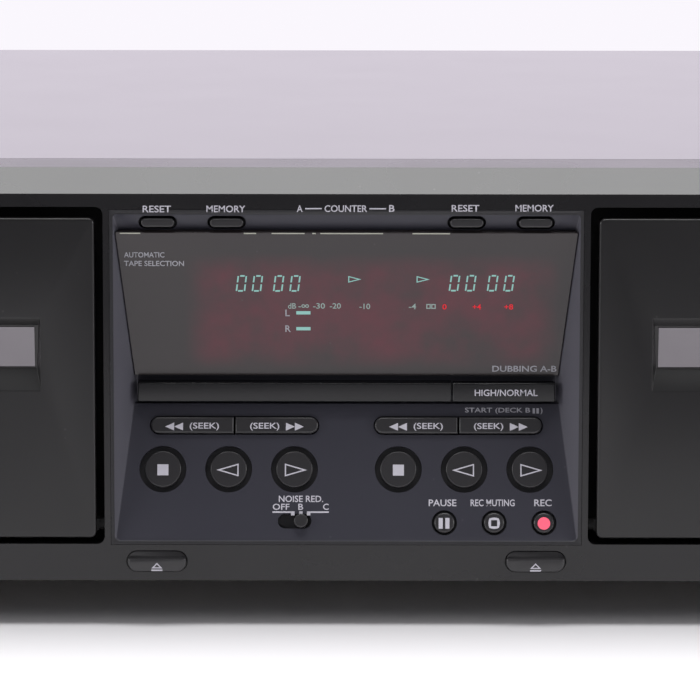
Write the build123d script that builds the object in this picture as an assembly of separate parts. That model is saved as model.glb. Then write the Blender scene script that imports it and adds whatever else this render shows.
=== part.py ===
from build123d import *
import math
import os

# A dual-well cassette deck. Millimetres, X to the right, Y to the back, Z up.
# The origin is on the floor, in the middle of the deck's footprint.

os.makedirs("parts", exist_ok=True)

# ---------------------------------------------------------------- driving dimensions
# Overall
width = 430.0
depth = 290.0              # level knob's face to the jacks' tips
height = 120.0
knob_stand = 8.0           # knob's face in front of the front face
jack_stand = 9.0           # jack tips behind the rear panel
slide_gap = 0.3            # gap round every part that slides in a hole
shaft_gap = 0.05           # radial clearance of a running shaft

# Case
sheet = 1.0                # steel of the cover, pan and rear panel
foot_height = 12.0
foot_radius = 20.0
foot_inset_x = 50.0
foot_inset_y = 40.0
pan_wall = 30.0            # height of the pan's side walls
pan_lip = 7.0              # height of the pan's front lip
cover_inset = 2.0          # cover's side inside the front panel's end
cover_seam = 0.3
cover_rear_lip = 12.0
screw_radius = 1.5
screw_head_radius = 4.0
screw_head = 1.8
screw_length = 7.0

# Front panel
panel_depth = 23.0
skin = 2.6
sole = 1.4                 # panel's bottom wall
bevel_up = 6.0
bevel_back = 6.8
well_web = 126.0           # between the two wells' inner edges
well_width = 128.3
well_height = 88.9
well_bottom = foot_height + 9.7
well_corner = 2.0
well_depth = 21.0
collar_wall = 1.4

# Doors
door_side_gap = 2.2
door_top_gap = 2.9
door_bottom_gap = 1.6
lid_thickness = 2.5
lid_edge_round = 0.8
groove_top = foot_height + 69.5
groove_bottom = foot_height + 50.3
groove_half = 47.8
groove_depth = 4.0
groove_lip = 2.2           # depth at the foot of the groove's upper lip
groove_lip_height = 2.3
groove_slope = 5.3         # height of the groove's lower slope
glass_thickness = 1.5
pin_radius = 1.5
pin_depth = skin + 1.7     # hinge axis behind the front face
pin_rise = 3.0             # hinge axis above the lid's lower edge
cassette_width = 100.4
cassette_height = 63.8
cassette_thin = 8.7
cassette_thick = 12.0
cassette_bottom = foot_height + 27.0
cassette_front = 6.2
holder_wall = 1.8
holder_gap = 0.6

# Centre recess
recess_half = 60.5
recess_bottom = foot_height + 10.4
recess_height = 86.6
recess_corner = 1.3
recess_rim = 0.8
recess_draft = 21.5        # degrees
fascia_wall = 1.8
band_depth = 2.7
tab_thickness = 1.6        # fascia's fixing tabs behind the panel's skin
tab_reach = 3.0
tab_half = 10.0
tab_gap = 0.3              # tab's top below the bevel's inner corner
display_lip = 0.8          # window's upper edge behind the front face
display_top = recess_bottom + 81.4
display_bottom = recess_bottom + 41.9
valley_depth = 12.0
control_top = recess_bottom + 34.4
control_lip = 0.5
window_thickness = 2.0
window_gap = 0.3
tube_half = 46.0
tube_thickness = 5.0

# Bar under the window
bar_half = 54.6
bar_split = 27.6
bar_height = 5.0
bar_depth = 9.3            # bar's face behind the front face
bar_bottom = recess_bottom + 35.4

# Buttons
flange = 1.0
flange_lap = 1.0
counter_x = (31.0, 48.8)   # memory and reset, from the middle
counter_width = 8.6
counter_height = 2.3
counter_gap = 0.7          # round the counter caps, down to their flange
counter_lap = 0.2
counter_z = recess_bottom + 84.0
pill_x = 29.3
pill_width = 44.4
pill_height = 4.9
pill_split = 0.4
pill_rise = recess_bottom + 28.9
pill_stand = 1.2
transport_x = (13.6, 30.8, 48.0)
transport_hole = 6.15
transport_radius = 4.75
transport_rise = recess_bottom + 17.96
transport_stand = 0.2
record_x = (25.6, 38.6, 51.6)
record_hole = 3.3
record_radius = 2.7
record_rise = recess_bottom + 4.65
record_stand = 0.4
switch_x = -13.5
switch_rise = recess_bottom + 5.0
switch_slot = 8.8
switch_slot_height = 3.9
switch_knob_radius = 1.8
switch_rest = 1.65         # knob's rest place from the slot's middle
switch_travel = 4.0
switch_stand = 1.6
eject_x = 49.4
eject_width = 16.0
eject_height = 5.7
eject_z = foot_height + 5.15
eject_stand = 1.6
eject_ledge = 0.9          # ledge above the button's middle

# Panel ends
power_z = foot_height + 84.0
power_width = 13.0
power_height = 8.0
power_stand = 4.0
phones_z = foot_height + 20.0
phones_radius = 3.3
phones_barrel = 6.0
phones_nut = 7.5
phones_length = 32.0
knob_z = foot_height + 40.0
knob_radius = 9.0
knob_shaft = 3.0

# Tape mechanism, measured from the middle of each well
plate = 1.2
spindle_pitch = 42.5
spindle_rise = 34.3        # above the cassette's lower edge
spindle_radius = 4.4
spindle_shaft = 1.5
reel_gear_radius = 13.5
reel_gear = 2.5
capstan_pitch = 50.0
capstan_rise = 8.5
capstan_radius = 1.0
flywheel_radius = 23.8
flywheel = 6.0
flywheel_depth = 28.0      # flywheel's front behind the front face
rear_plate_depth = 37.0
pulley_radius = 5.0
pulley_rise = 46.0
belt = 0.8
belt_width = 3.0
belt_gap = 0.3
motor_radius = 16.0
motor_length = 22.0
head_travel = 8.0
roller_radius = 5.0
roller_length = 7.0

# Inside the case
board_thickness = 1.6
board_rise = 8.0
transformer_size = (62.0, 50.0, 48.0)

# Rear
jack_radius = 4.15
jack_bore = 1.6
jack_flange_radius = 5.5
jack_flange = 1.0
jack_spacing_x = 19.0
jack_spacing_z = 14.0
jack_x = 150.0
jack_z = foot_height + 48.0
gland_x = -170.0
gland_z = foot_height + 20.0
gland_radius = 6.0
gland_bore = 3.5
gland_flange = 2.0

# ---------------------------------------------------------------- worked-out places
front_y = -depth / 2 + knob_stand
rear_y = depth / 2 - jack_stand
half_width = width / 2
side_x = half_width - cover_inset          # outside of the cover's side
pan_x = side_x - sheet                     # outside of the pan's side wall
pan_front = front_y + panel_depth
floor_top = foot_height + sheet
well_centre = well_web / 2 + well_width / 2
well_middle_z = well_bottom + well_height / 2
flank_x = (well_web / 2 + well_width + collar_wall + half_width - skin) / 2
recess_top = recess_bottom + recess_height
lid_bottom = well_bottom + door_bottom_gap
lid_top = well_bottom + well_height - door_top_gap
lid_half = well_width / 2 - door_side_gap
pin_z = lid_bottom + pin_rise
spindle_z = cassette_bottom + spindle_rise
capstan_z = cassette_bottom + capstan_rise
motor_z = cassette_bottom + pulley_rise
front_plate_y = front_y + well_depth
rear_plate_y = front_y + rear_plate_depth
flywheel_y = front_y + flywheel_depth
control_angle = math.atan2(valley_depth - control_lip, control_top - recess_bottom)
display_angle = math.atan2(valley_depth - display_lip, display_top - display_bottom)
draft_rate = math.tan(math.radians(recess_draft))
corner_turn = math.tan(math.atan2(bevel_back, bevel_up) / 2)
tab_top = height - bevel_up - skin * corner_turn - tab_gap
board_z = floor_top + board_rise
board_front = front_y + 75.0
board_rear = rear_y - 16.0
nodes = {}


# ---------------------------------------------------------------- building blocks
def block(x0, x1, y0, y1, z0, z1):
    """A box between two opposite corners."""
    middle = Pos((x0 + x1) / 2, (y0 + y1) / 2, (z0 + z1) / 2)
    return middle * Box(x1 - x0, y1 - y0, z1 - z0)


def facing(y):
    """A plane that faces the front at this depth; its axes are X and Z."""
    return Plane(origin=(0, y, 0), x_dir=(1, 0, 0), z_dir=(0, -1, 0))


def through(sketch, y0, y1):
    """A sketch in X and Z, made solid from y0 back to y1."""
    return extrude(facing(y1) * sketch, y1 - y0, dir=(0, -1, 0))


def rod(x, z, y0, y1, radius):
    """A round bar along Y."""
    return through(Pos(x, z) * Circle(radius), y0, y1)


def tube(x, z, y0, y1, radius, bore):
    """A round tube along Y."""
    return rod(x, z, y0, y1, radius) - rod(x, z, y0 - 1, y1 + 1, bore)


def cone(x, z, y0, y1, radius0, radius1):
    """A round taper along Y, radius0 at y0."""
    first = Plane(origin=(0, y0, 0), x_dir=(1, 0, 0), z_dir=(0, -1, 0))
    return loft([first * Pos(x, z) * Circle(radius0), facing(y1) * Pos(x, z) * Circle(radius1)])


def along(points, x0, x1):
    """An outline in Y and Z, made solid from x0 to x1."""
    return extrude(Plane.YZ.offset(x0) * Polygon(*points, align=None), x1 - x0, dir=(1, 0, 0))


def upright(points):
    """An outline in X and Y, made solid from the floor to the top of the case."""
    return extrude(Plane.XY * Polygon(*points, align=None), height, dir=(0, 0, 1))


def behind(points):
    """Outline points given as depth behind the front face, and height."""
    return [(front_y + back, z) for back, z in points]


def group(*solids):
    """Several solids that share one node."""
    return Compound(children=list(solids))


def keep(name, shape):
    nodes[name] = shape


# ---------------------------------------------------------------- front panel
def panel_outline(inset, bottom, back):
    """The panel's section; inset follows the bevelled top edge inwards."""
    rise = inset * math.tan(math.atan2(bevel_up, bevel_back) / 2)
    return behind([
        (inset, bottom),
        (inset, height - bevel_up - inset * corner_turn),
        (bevel_back + rise, height - inset),
        (back, height - inset),
        (back, bottom),
    ])


def well_outline(side, grow):
    centre = Pos(side * well_centre, well_middle_z)
    return centre * RectangleRounded(well_width + 2 * grow, well_height + 2 * grow,
                                     well_corner + grow)


def fascia_opening(grow):
    span = 2 * (recess_half + recess_rim + grow)
    middle = Pos(0, recess_bottom + recess_height / 2)
    return middle * Rectangle(span, recess_height + 2 * (recess_rim + grow))


def well_liner(side):
    """The wall round one well, bonded behind the panel's skin; the door's pins turn in it."""
    wall = (through(well_outline(side, collar_wall), front_y + skin, front_plate_y)
            - through(well_outline(side, 0), front_y, front_plate_y + 1))
    for edge in (-1, 1):
        pin_x = side * well_centre + edge * (well_width + collar_wall) / 2
        hole = Cylinder(pin_radius + shaft_gap, collar_wall + 0.4)
        wall -= Pos(pin_x, front_y + pin_depth, pin_z) * Rot(0, 90, 0) * hole
    return wall


def front_panel():
    """The moulded panel with its two well liners."""
    panel = along(panel_outline(0, foot_height, panel_depth), -half_width, half_width)
    hollow = along(panel_outline(skin, foot_height + sole, panel_depth + 1),
                   -half_width + skin, half_width - skin)
    panel -= hollow
    for side in (-1, 1):
        panel -= through(well_outline(side, 0), front_y - 1, front_plate_y)
        slot = SlotOverall(eject_width, eject_height)
        panel -= through(Pos(side * eject_x, eject_z) * slot, front_y - 1, front_y + skin + 1)
    panel -= through(fascia_opening(0.1), front_y - 1, front_y + skin + 1)
    power_hole = RectangleRounded(power_width + 2 * slide_gap, power_height + 2 * slide_gap, 1.5)
    panel -= through(Pos(-flank_x, power_z) * power_hole, front_y - 1, front_y + skin + 1)
    panel -= rod(-flank_x, phones_z, front_y - 1, front_y + skin + 1, phones_barrel + 0.1)
    panel -= rod(flank_x, knob_z, front_y - 1, front_y + skin + 1, knob_shaft + shaft_gap)
    return group(panel, well_liner(-1), well_liner(1))


# ---------------------------------------------------------------- centre fascia
def display_point(along_slope, back):
    """A point measured down the window's front face, and back from it."""
    down = (math.sin(display_angle), -math.cos(display_angle))
    inward = (math.cos(display_angle), math.sin(display_angle))
    return (display_lip + along_slope * down[0] + back * inward[0],
            display_top + along_slope * down[1] + back * inward[1])


display_length = math.hypot(display_top - display_bottom, valley_depth - display_lip)


def display_slab(front, back, start, end):
    """A slab parallel to the window's front face, all the way across."""
    corners = [display_point(start, front), display_point(end, front),
               display_point(end, back), display_point(start, back)]
    return along(behind(corners), -recess_half, recess_half)


def control_plane(x, z):
    """A plane on the control slope whose normal stands out of it."""
    back = control_lip + (z - recess_bottom) * math.tan(control_angle)
    return Plane(origin=(x, front_y + back, z), x_dir=(1, 0, 0),
                 z_dir=(0, -math.cos(control_angle), math.sin(control_angle)))


def valley():
    """The hollow of the recess: two slopes and a band, with drafted side walls."""
    seat_top = display_point(0, window_thickness)
    seat_bottom = display_point(display_length, window_thickness)
    outline = behind([
        (-1, recess_top), (0, recess_top), seat_top, seat_bottom,
        (seat_bottom[0], control_top), (valley_depth, control_top),
        (control_lip, recess_bottom), (-1, recess_bottom),
    ])
    start = Plane(origin=(0, front_y - 1, 0), x_dir=(1, 0, 0), z_dir=(0, 1, 0))
    mouth = RectangleRounded(2 * (recess_half + draft_rate), recess_height + 2 * draft_rate,
                             recess_corner)
    middle = Pos(0, -(recess_bottom + recess_height / 2))
    prism = extrude(start * middle * mouth, 18, taper=recess_draft)
    return along(outline, -recess_half - 2, recess_half + 2) & prism


def fascia_body():
    """The recess's outside: the valley's outline set back by the wall."""
    seat_top = display_point(0, window_thickness + fascia_wall)
    seat_bottom = display_point(display_length, window_thickness + fascia_wall)
    lean = (fascia_wall * math.cos(control_angle), -fascia_wall * math.sin(control_angle))
    outline = behind([
        (0, recess_top + recess_rim), (band_depth, recess_top + recess_rim), seat_top,
        seat_bottom, (seat_bottom[0], control_top - 0.6),
        (valley_depth + lean[0], control_top + lean[1]),
        (control_lip + lean[0], recess_bottom + lean[1]),
        (control_lip + lean[0], recess_bottom - recess_rim), (0, recess_bottom - recess_rim),
    ])
    rim = recess_half + recess_rim
    deep = rim + fascia_wall - recess_rim - 18 * draft_rate
    straight = (fascia_wall - recess_rim) / draft_rate
    plan = [(-rim, front_y), (rim, front_y), (rim, front_y + straight), (deep, front_y + 18),
            (-deep, front_y + 18), (-rim, front_y + straight)]
    return along(outline, -rim, rim) & upright(plan)


def half_pill(side, grow):
    """One half of the split pill; side -1 is the left half."""
    whole = SlotOverall(pill_width - 2 * slide_gap + 2 * grow, pill_height - 2 * slide_gap + 2 * grow)
    reach = pill_width
    start = pill_split / 2
    half = Pos(side * (start + reach / 2), 0) * Rectangle(reach, reach)
    return whole & half


def bar_block(x0, x1, y0, y1, inset=0.0):
    """A piece of the bar, drawn in by inset at its ends, top and bottom."""
    return block(x0 + inset, x1 - inset, front_y + y0, front_y + y1,
                 bar_bottom + inset, bar_bottom + bar_height - inset)


def centre_fascia():
    fascia = fascia_body() - valley()
    window_hole = display_slab(window_thickness - 1, window_thickness + fascia_wall + 1, 5, 34)
    fascia -= window_hole & block(-tube_half - 1, tube_half + 1, front_y, front_y + 30,
                                  foot_height, height)
    for side in (-1, 1):
        for x in counter_x:
            hole = SlotOverall(counter_width + 2 * counter_gap, counter_height + 2 * counter_gap)
            fascia -= through(Pos(side * x, counter_z) * hole, front_y - 1, front_y + 6)
        pill = SlotOverall(pill_width, pill_height)
        fascia -= extrude(control_plane(side * pill_x, pill_rise).offset(-4) * pill, 8)
        for x in transport_x:
            round_hole = Circle(transport_hole)
            fascia -= extrude(control_plane(side * x, transport_rise).offset(-4) * round_hole, 8)
    for x in record_x:
        small_hole = Circle(record_hole)
        fascia -= extrude(control_plane(x, record_rise).offset(-4) * small_hole, 8)
    slot = SlotOverall(switch_slot, switch_slot_height)
    fascia -= extrude(control_plane(switch_x, switch_rise).offset(-4) * slot, 8)
    fascia -= bar_block(bar_split, bar_half, 12.5, 18, inset=0.3)
    tab_back = front_y + skin + tab_thickness
    fascia += block(-tab_half, tab_half, front_y + skin, tab_back, recess_top - 2, tab_top)
    fascia += block(-tab_half, tab_half, front_y + skin, tab_back,
                    recess_bottom - recess_rim - tab_reach, recess_bottom + 0.6)
    return fascia + block(-tab_half, tab_half, front_y + control_lip + 0.8, tab_back,
                          recess_bottom - recess_rim + 0.2, recess_bottom + 0.6)


def display_window():
    window = display_slab(0, window_thickness, 0, display_length)
    half = recess_half - window_gap
    plan = [(-half, front_y), (half, front_y), (half - 18 * draft_rate, front_y + 18),
            (-half + 18 * draft_rate, front_y + 18)]
    return window & upright(plan)


def display_tube():
    back = window_thickness + fascia_wall
    slab = display_slab(back, back + tube_thickness, 3, 36)
    bounds = block(-tube_half - 4, tube_half + 4, front_y, front_y + 40, foot_height, height)
    glass = slab & bounds
    return fillet(glass.edges().filter_by(Axis.X), 0.8)


# ---------------------------------------------------------------- buttons
def round_button(x, z, radius, hole, stand, edge):
    """A cap through the control slope, with a gap round it down to its flange, and a stem."""
    plane = control_plane(x, z)
    base = fascia_wall + 0.1
    rim = extrude(plane.offset(-base - flange) * Circle(hole + flange_lap - slide_gap), flange)
    cap = extrude(plane.offset(-base) * Circle(radius), base + stand)
    cap = fillet(cap.faces().sort_by(lambda f: f.center().dot(plane.z_dir))[-1].edges(), edge)
    stem = extrude(plane.offset(-fascia_wall - 5) * Rectangle(3, 3), 5)
    return cap + rim + stem


def pill_button(side, half):
    plane = control_plane(side * pill_x, pill_rise)
    shank_depth = fascia_wall + 0.1 + flange
    shank = extrude(plane.offset(-shank_depth) * half_pill(half, 0), shank_depth + pill_stand)
    rim = extrude(plane.offset(-shank_depth) * half_pill(half, flange_lap), flange)
    face = shank.faces().sort_by(lambda f: f.center().dot(plane.z_dir))[-1]
    shank = fillet(face.edges(), 0.6)
    stem = extrude(plane.offset(-shank_depth - 4) * Pos(half * pill_width / 4, 0) * Rectangle(3, 3), 5)
    return shank + rim + stem


def counter_button(x):
    back = front_y + band_depth + 2.6
    pill = SlotOverall(counter_width, counter_height)
    button = through(Pos(x, counter_z) * pill, front_y + 0.2, back + 2)
    button = fillet(button.faces().sort_by(Axis.Y)[0].edges(), 0.5)
    reach = 2 * (counter_gap + counter_lap)
    lap = SlotOverall(counter_width + reach, counter_height + reach)
    return button + through(Pos(x, counter_z) * lap, back, back + flange)


def dubbing_button():
    face = bar_block(bar_split + 0.15, bar_half, bar_depth, bar_depth + 2.4)
    face = fillet(face.faces().sort_by(Axis.Y)[0].edges(), 0.4)
    shank = bar_block(bar_split, bar_half, bar_depth + 2.4, 17.2, inset=0.3 + slide_gap)
    stop = block(bar_split - 0.4, bar_half + 0.4, front_y + 16.2, front_y + 17.2,
                 bar_bottom - 0.4, bar_bottom + bar_height + 0.4)
    return face + shank + stop


def dubbing_trim():
    floor = display_point(display_length, window_thickness)[0]
    trim = bar_block(-bar_half, bar_split - 0.15, bar_depth, floor)
    return fillet(trim.faces().sort_by(Axis.Y)[0].edges(), 0.4)


def noise_switch():
    plane = control_plane(switch_x, switch_rise)
    place = Pos(switch_rest, 0)
    base = fascia_wall + 0.1 + flange
    knob = extrude(plane.offset(-base) * place * Circle(switch_knob_radius), base + switch_stand)
    knob = fillet(knob.faces().sort_by(lambda f: f.center().dot(plane.z_dir))[-1].edges(), 0.4)
    slider = extrude(plane.offset(-base) * place * Rectangle(switch_slot + 2 * switch_travel, 5.4),
                     flange)
    return knob + slider


def eject_button(side):
    """A push bar with rounded ends: an upper ledge set back over a fuller lower face."""
    low = eject_z - eject_height / 2 + slide_gap
    top = eject_z + eject_height / 2 - slide_gap
    bar = SlotOverall(eject_width - 2 * slide_gap, top - low)
    body = through(Pos(side * eject_x, eject_z) * bar, front_y - eject_stand, front_y + 12)
    body = fillet(body.faces().sort_by(Axis.Y)[0].edges(), 0.7)
    body -= block(side * eject_x - eject_width, side * eject_x + eject_width, front_y - 3,
                  front_y + 0.3, eject_z + eject_ledge, height)
    stop = block(side * eject_x - eject_width / 2 - 0.9, side * eject_x + eject_width / 2 + 0.9,
                 front_y + skin + 0.1, front_y + skin + 1.1, low - 0.7, top + 0.7)
    return body + stop


def power_button():
    cap = through(Pos(-flank_x, power_z) * RectangleRounded(power_width, power_height, 1.2),
                  front_y - power_stand, front_y + 12)
    cap = fillet(cap.faces().sort_by(Axis.Y)[0].edges(), 0.6)
    stop = Rectangle(power_width + 2, power_height + 2)
    return cap + through(Pos(-flank_x, power_z) * stop, front_y + skin + 0.1, front_y + skin + 1.1)


def rec_level_knob():
    knob = rod(flank_x, knob_z, front_y - knob_stand, front_y - 0.5, knob_radius)
    knob = fillet(knob.faces().sort_by(Axis.Y)[0].edges(), 0.8)
    mark = block(flank_x - 0.4, flank_x + 0.4, front_y - knob_stand - 1, front_y - knob_stand + 0.4,
                 knob_z + knob_radius / 2, knob_z + knob_radius - 1)
    return knob - mark + rod(flank_x, knob_z, front_y - 0.5, front_y + 12, knob_shaft)


def phones_jack():
    back = front_y + phones_length
    body = block(-flank_x - 8, -flank_x + 8, front_y + skin, back, phones_z - 8, phones_z + 8)
    jack = body + rod(-flank_x, phones_z, front_y, front_y + skin, phones_barrel)
    jack += rod(-flank_x, phones_z, front_y - 2, front_y, phones_nut)
    return jack - rod(-flank_x, phones_z, front_y - 3, back - 2, phones_radius)


# ---------------------------------------------------------------- doors
def door_valley(side):
    centre = side * well_centre
    outline = behind([
        (-1, groove_top), (0, groove_top), (groove_lip, groove_top - groove_lip_height),
        (groove_depth, groove_bottom + groove_slope), (0, groove_bottom), (-1, groove_bottom),
    ])
    start = Plane(origin=(centre, front_y - 1, 0), x_dir=(1, 0, 0), z_dir=(0, 1, 0))
    middle = Pos(0, -(groove_top + groove_bottom) / 2)
    mouth = Rectangle(2 * groove_half + 0.6, groove_top - groove_bottom + 0.6)
    prism = extrude(start * middle * mouth, groove_depth + 2, taper=16)
    return along(outline, centre - groove_half - 1, centre + groove_half + 1) & prism


def glass_slab(side, grow, front, back):
    """The door window's own slab, leaning with the groove, between two set-backs."""
    top = (groove_lip, groove_top - groove_lip_height)
    foot = (groove_depth, groove_bottom + groove_slope)
    lean = math.atan2(foot[0] - top[0], top[1] - foot[1])
    down = (math.sin(lean), -math.cos(lean))
    inward = (math.cos(lean), math.sin(lean))
    length = math.hypot(foot[0] - top[0], top[1] - foot[1])
    start, end = 0.4 - grow, length - 0.4 + grow
    corners = []
    for step, set_back in ((start, front), (end, front), (end, back), (start, back)):
        corners.append((top[0] + step * down[0] + set_back * inward[0],
                        top[1] + step * down[1] + set_back * inward[1]))
    half = groove_half - 1.6
    return along(behind(corners), side * well_centre - half, side * well_centre + half)


def door_cover(side):
    outline = RectangleRounded(2 * lid_half, lid_top - lid_bottom, 1.6)
    lid = through(Pos(side * well_centre, (lid_top + lid_bottom) / 2) * outline,
                  front_y, front_y + lid_thickness)
    lid = fillet(lid.faces().sort_by(Axis.Y)[0].edges(), lid_edge_round)
    centre = side * well_centre
    pocket = block(centre - groove_half - 1.5, centre + groove_half + 1.5, front_y + lid_thickness,
                   front_y + groove_depth + glass_thickness + 0.3,
                   groove_bottom - 1.5, groove_top + 1.5)
    return lid + pocket - door_valley(side) - glass_slab(side, 0.1, -0.3, 6)


def door_window(side):
    return glass_slab(side, 0, 0.05, glass_thickness)


def cassette_holder(side):
    """The moving frame behind the door cover: it takes the cassette and carries the pins."""
    centre = side * well_centre
    inner = cassette_width / 2 + holder_gap
    outer = inner + holder_wall
    front = front_y + lid_thickness
    back = front_y + cassette_front + (cassette_thick + cassette_thin) / 2 + holder_gap
    top = cassette_bottom + cassette_height - 3
    front_plate = block(centre - outer, centre + outer, front, front + holder_wall,
                        pin_z - 1.5, top)
    opening = block(centre - groove_half - 1.8, centre + groove_half + 1.8, front - 1,
                    front + holder_wall + 1, groove_bottom - 1.8, groove_top + 1.8)
    holder = front_plate - opening
    for edge in (-1, 1):
        x0, x1 = sorted((centre + edge * inner, centre + edge * outer))
        holder += block(x0, x1, front, back + holder_wall, cassette_bottom - holder_wall, top)
        lip0, lip1 = sorted((centre + edge * (inner - 3), centre + edge * outer))
        holder += block(lip0, lip1, back, back + holder_wall, cassette_bottom - holder_wall, top)
        shelf0, shelf1 = sorted((centre + edge * (inner - 12), centre + edge * outer))
        holder += block(shelf0, shelf1, front, back + holder_wall,
                        cassette_bottom - holder_wall, cassette_bottom)
        arm_end = well_width / 2 - 1.6
        arm0, arm1 = sorted((centre + edge * inner, centre + edge * arm_end))
        holder += block(arm0, arm1, front + 0.3, front_y + pin_depth + pin_radius,
                        pin_z - pin_radius, pin_z + pin_radius)
        pin = Cylinder(pin_radius, collar_wall + 1.4)
        pin_x = centre + edge * (well_width / 2 - 0.3)
        holder += Pos(pin_x, front_y + pin_depth, pin_z) * Rot(0, 90, 0) * pin
    return holder


# ---------------------------------------------------------------- tape mechanism
def mechanism_frame(side):
    """Front and rear steel plates held apart by posts, with legs down to the pan."""
    centre = side * well_centre
    half = well_width / 2 + collar_wall
    low = well_bottom - collar_wall
    frame = block(centre - half, centre + half, front_plate_y, front_plate_y + plate,
                  low, well_bottom + well_height + collar_wall)
    rear_low = capstan_z - flywheel_radius - 1
    frame += block(centre - 55, centre + 55, rear_plate_y, rear_plate_y + plate,
                   rear_low, motor_z + motor_radius + 2)
    for edge in (-1, 1):
        for z in (rear_low + 3, motor_z + motor_radius - 3):
            frame += rod(centre + edge * 52, z, front_plate_y + plate, rear_plate_y, 2.2)
        leg = centre + edge * 49
        frame += block(leg - 6, leg + 6, rear_plate_y, rear_plate_y + plate, floor_top, rear_low)
        x = centre + edge * spindle_pitch / 2
        frame -= rod(x, spindle_z, front_plate_y - 1, front_plate_y + plate + 1,
                     spindle_shaft + shaft_gap)
        x = centre + edge * capstan_pitch / 2
        frame -= rod(x, capstan_z, front_plate_y - 1, rear_plate_y + plate + 1,
                     capstan_radius + shaft_gap)
        stud = centre + edge * 14
        frame += rod(stud, cassette_bottom - 8, front_plate_y - 2.4, front_plate_y, 1.6)
        frame += rod(stud, cassette_bottom - 8, front_plate_y - 3.2, front_plate_y - 2.4, 2.8)
    return frame - rod(centre, motor_z, rear_plate_y - 1, rear_plate_y + plate + 1, 4.0)


def spindle(side, edge):
    """A splined reel drive in front of the plate and its gear behind it."""
    x = side * well_centre + edge * spindle_pitch / 2
    tip = front_y + cassette_front + 2.0
    base = front_plate_y - 0.3
    drive = rod(x, spindle_z, tip + 2.5, base, spindle_radius - 1.4)
    drive += cone(x, spindle_z, tip, tip + 2.5, 1.2, spindle_radius - 1.4)
    drive += rod(x, spindle_z, base - 2, base, spindle_radius + 2)
    for fin in range(6):
        turn = Plane(origin=(x, 0, spindle_z), z_dir=(0, -1, 0), x_dir=(1, 0, 0))
        rib = Rot(0, 0, 60 * fin) * Pos(spindle_radius / 2, 0) * Rectangle(spindle_radius, 1.0)
        drive += extrude(turn.offset(-base + 1) * rib, base - tip - 4)
    drive += rod(x, spindle_z, base - 1, front_plate_y + plate + 3, spindle_shaft)
    gear_y = front_plate_y + plate + 0.6
    return drive + rod(x, spindle_z, gear_y, gear_y + reel_gear, reel_gear_radius)


def flywheel_part(side, edge):
    """A capstan shaft with its flywheel, grooved on the back to save weight."""
    x = side * well_centre + edge * capstan_pitch / 2
    wheel = rod(x, capstan_z, flywheel_y, flywheel_y + flywheel, flywheel_radius)
    wheel -= tube(x, capstan_z, flywheel_y + 3, flywheel_y + flywheel + 1, flywheel_radius - 4, 6)
    tip = front_y + cassette_front + 4
    return wheel + rod(x, capstan_z, tip, rear_plate_y + plate - 0.2, capstan_radius)


def motor_pulley(side):
    x = side * well_centre
    pulley_y = flywheel_y + 1
    pulley = rod(x, motor_z, pulley_y, pulley_y + 5, pulley_radius + 0.8)
    pulley -= tube(x, motor_z, pulley_y + 0.8, pulley_y + 4.2, pulley_radius + 2, pulley_radius)
    return pulley + rod(x, motor_z, pulley_y, rear_plate_y + plate + 5, 1.0)


def capstan_motor(side):
    x = side * well_centre
    start = rear_plate_y + plate
    body = rod(x, motor_z, start, start + motor_length, motor_radius)
    body = fillet(body.faces().sort_by(Axis.Y)[-1].edges(), 2)
    return body - rod(x, motor_z, start - 1, start + 6, 1.0 + shaft_gap)


def drive_belt(side):
    """A flat belt round the motor pulley and the right flywheel."""
    x = side * well_centre
    big = (x + capstan_pitch / 2, capstan_z, flywheel_radius + belt_gap)
    small = (x, motor_z, pulley_radius + belt_gap)
    belt_y = flywheel_y + 2.0

    def loop(grow):
        first = Pos(big[0], big[1]) * Circle(big[2] + grow)
        second = Pos(small[0], small[1]) * Circle(small[2] + grow)
        return make_hull(first.edges() + second.edges())

    inside = through(loop(0), belt_y - 1, belt_y + belt_width + 1)
    return through(loop(belt), belt_y, belt_y + belt_width) - inside


def head_carriage(side):
    """Sliding base with the head in the middle and a pinch roller at each capstan."""
    centre = side * well_centre
    top = cassette_bottom - 2.5
    low = well_bottom + 1.3
    slide_y = front_plate_y - 2.0
    base = block(centre - 33, centre + 33, slide_y, slide_y + plate, low, top)
    for edge in (-1, 1):
        slot = Pos(centre + edge * 14, cassette_bottom - 8 - head_travel / 2) * Rot(0, 0, 90)
        base -= through(slot * SlotOverall(head_travel + 4.0, 3.8), slide_y - 1, slide_y + plate + 1)
    head_front = front_y + cassette_front + 4
    base += block(centre - 7, centre + 7, head_front, slide_y, top - 7, top)
    base += block(centre - 6, centre + 6, head_front + 1, slide_y - 2, top, top + 1.2)
    roller_z = capstan_z - capstan_radius - roller_radius - 0.3 - head_travel
    roller_y = head_front + 0.5
    rollers = []
    for edge in (-1, 1):
        x = centre + edge * capstan_pitch / 2
        base += rod(x, roller_z, roller_y - 1, slide_y, 1.2)
        rollers.append(tube(x, roller_z, roller_y, roller_y + roller_length, roller_radius, 1.25))
    return group(base, *rollers)


# ---------------------------------------------------------------- case
def chassis_pan():
    pan = block(-pan_x, pan_x, pan_front, rear_y - sheet, foot_height, floor_top)
    pan += block(-pan_x + skin, pan_x - skin, pan_front, pan_front + sheet, foot_height,
                 foot_height + pan_lip)
    for side in (-1, 1):
        x0, x1 = sorted((side * pan_x, side * (pan_x - sheet)))
        pan += block(x0, x1, pan_front, rear_y - sheet, foot_height, foot_height + pan_wall)
    for x, z, y in side_screws():
        pan -= Pos(x, y, z) * Rot(0, 90, 0) * Cylinder(screw_radius + shaft_gap, 12)
    return pan


def side_screws():
    """Middle of each side screw's head: x, z and y."""
    places = []
    for side in (-1, 1):
        for y in (pan_front + 40, rear_y - 40):
            places.append((side * side_x, foot_height + pan_wall / 2, y))
    return places


def rear_screws():
    return [(x, height - cover_rear_lip / 2) for x in (-side_x + 30, 0, side_x - 30)]


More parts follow.
